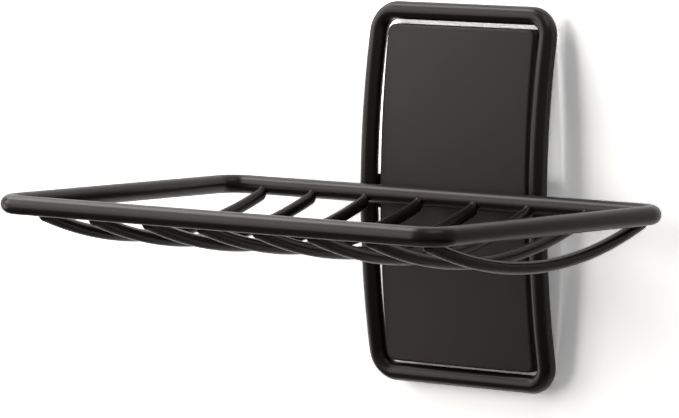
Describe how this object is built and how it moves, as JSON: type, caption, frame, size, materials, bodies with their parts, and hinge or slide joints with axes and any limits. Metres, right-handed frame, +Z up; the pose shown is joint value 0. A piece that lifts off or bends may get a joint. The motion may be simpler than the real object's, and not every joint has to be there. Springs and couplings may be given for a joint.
{
  "type": "soap dish",
  "caption": "Wire soap dish on an adhesive wall plate: a level tray with a sagging wire floor, held by a bowed frame of wire round the plate.",
  "frame": {"origin": "middle of the adhesive pad's back face, on the wall", "axes": "+Y into the wall, so the dish reaches out along -Y; +X to the right for someone who faces the wall; +Z up"},
  "size_m": [0.1334, 0.0921, 0.089],
  "materials": {
    "wire_coat": "dark bronze coat, satin",
    "plate_coat": "brown bronze, matte",
    "pad_foam": "white foam with an adhesive film on both faces"
  },
  "bodies": {
    "root": {"adhesive_pad": "pad_foam", "mounting_plate": "plate_coat", "frame_strap": "wire_coat", "back_frame": "wire_coat", "tray_rim": "wire_coat", "basket_wire_1": "wire_coat", "basket_wire_2": "wire_coat", "basket_wire_3": "wire_coat", "basket_wire_4": "wire_coat", "basket_wire_5": "wire_coat", "basket_wire_6": "wire_coat", "basket_wire_7": "wire_coat", "basket_wire_8": "wire_coat"}
  },
  "joints": []
}
